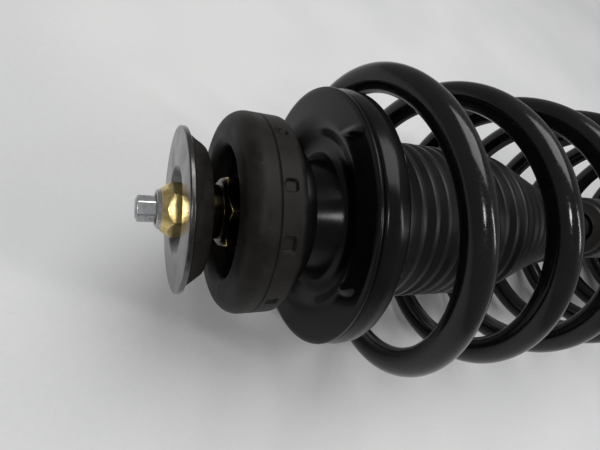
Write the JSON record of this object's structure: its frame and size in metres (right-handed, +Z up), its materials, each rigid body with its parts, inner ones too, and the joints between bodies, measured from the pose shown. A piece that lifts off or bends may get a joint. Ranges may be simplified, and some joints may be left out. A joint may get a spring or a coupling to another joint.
{
  "type": "strut assembly",
  "caption": "Front suspension strut: damper with coil spring, rubber top mount with thrust bearing, dust boot and a bracket for the steering knuckle.",
  "frame": {"origin": "on the strut's axis, at the middle of the rubber mount ring that sits in the body turret", "axes": "+X runs along the strut's axis from its top towards the knuckle bracket, +Z is up with the strut lying on its side"},
  "size_m": [0.635, 0.168, 0.168],
  "materials": {
    "chrome_rod": "hard chrome, ground and polished",
    "zinc_steel": "bright zinc plate",
    "yellow_zinc": "yellow passivated zinc plate on steel",
    "plated_plate": "bright plated pressed steel",
    "buffer_rubber": "matte moulded rubber",
    "mount_rubber": "moulded rubber with a satin skin",
    "black_paint": "gloss black paint on pressed steel",
    "spring_paint": "gloss black coating on spring steel",
    "bearing_steel": "hardened ground steel",
    "cage_plastic": "moulded polyamide",
    "black_rubber": "black rubber",
    "boot_plastic": "moulded thermoplastic elastomer",
    "stop_foam": "microcellular foam",
    "tube_steel": "thin grey-black coating",
    "cap_steel": "dull brown-black finish",
    "plain_steel": "turned and oiled steel",
    "sintered_steel": "sintered iron",
    "band_plastic": "filled low-friction plastic",
    "bush_bronze": "lined bronze"
  },
  "bodies": {
    "damper_tube": {"coil_spring": "spring_paint", "damper_tube": "tube_steel", "tube_cap": "cap_steel", "rod_seal": "black_rubber", "rod_guide": "sintered_steel", "rod_bushing": "bush_bronze", "pressure_tube": "plain_steel", "foot_valve": "sintered_steel", "foot_cap": "plain_steel", "lower_spring_seat": "tube_steel", "lower_spring_isolator": "black_rubber", "knuckle_bracket": "tube_steel", "hose_bracket": "tube_steel"},
    "rod_and_seat": {"piston_rod": "chrome_rod", "top_nut": "yellow_zinc", "stop_plate": "plated_plate", "stop_plate_rubber": "buffer_rubber", "collar_nut": "yellow_zinc", "bearing_lower_race": "bearing_steel", "upper_spring_seat": "black_paint", "spring_cup": "black_paint", "upper_spring_isolator": "black_rubber", "stop_washer": "zinc_steel", "bump_stop": "stop_foam", "dust_boot": "boot_plastic", "rebound_bumper": "black_rubber", "rebound_ring": "plain_steel", "piston": "sintered_steel", "piston_band": "band_plastic", "upper_valve_discs": "bearing_steel", "lower_valve_discs": "bearing_steel", "piston_nut": "plain_steel"},
    "turret_mount": {"mount_rubber": "mount_rubber", "mount_core": "black_paint", "bearing_upper_race": "bearing_steel", "bearing_seal": "black_rubber"},
    "bearing_ball_set": {"bearing_balls": "bearing_steel", "bearing_cage": "cage_plastic"}
  },
  "joints": [
    {"name": "compression", "type": "slide", "parent": "damper_tube", "child": "rod_and_seat", "axis": [1, 0, 0], "range_m": [0, 0.15], "stiffness_N_per_m": 20000, "springref_m": -0.03, "deforming": ["coil_spring", "bump_stop"]},
    {"name": "steering_swivel", "type": "hinge", "parent": "rod_and_seat", "child": "turret_mount", "pos_m": [0, 0, 0], "axis": [1, 0, 0], "range_deg": [-40, 40]},
    {"name": "ball_cage_turn", "type": "hinge", "parent": "rod_and_seat", "child": "bearing_ball_set", "pos_m": [0, 0, 0], "axis": [1, 0, 0], "range_deg": [-20, 20]}
  ],
  "couplings": [
    {"joint": "ball_cage_turn", "follows": "steering_swivel", "ratio": 0.5}
  ]
}
